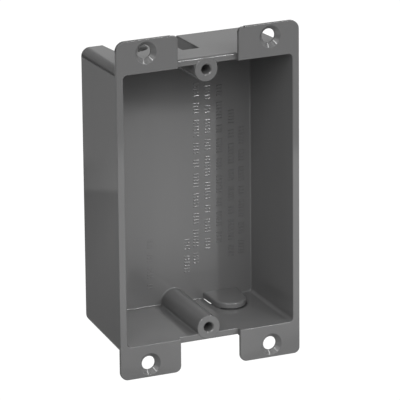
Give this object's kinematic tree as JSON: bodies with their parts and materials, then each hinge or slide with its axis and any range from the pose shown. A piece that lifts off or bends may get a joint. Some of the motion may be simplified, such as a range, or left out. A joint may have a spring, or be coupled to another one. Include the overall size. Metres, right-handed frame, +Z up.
{
  "type": "drywall back box",
  "caption": "Shallow single-gang plastic wall box with four countersunk corner tabs, two device-screw posts and a U-shaped cable knock-out at each end.",
  "frame": {"origin": "centre of the four tab screw holes, in the plane of the tabs' back faces, which is the face of the wall", "axes": "+Y into the wall, away from the open front; +Z up along the long side; +X to the right seen from the front"},
  "size_m": [0.061, 0.031, 0.1084],
  "materials": {
    "grey_pvc": "satin moulded PVC, mid grey"
  },
  "bodies": {
    "root": {"wall_box": "grey_pvc"}
  },
  "joints": []
}
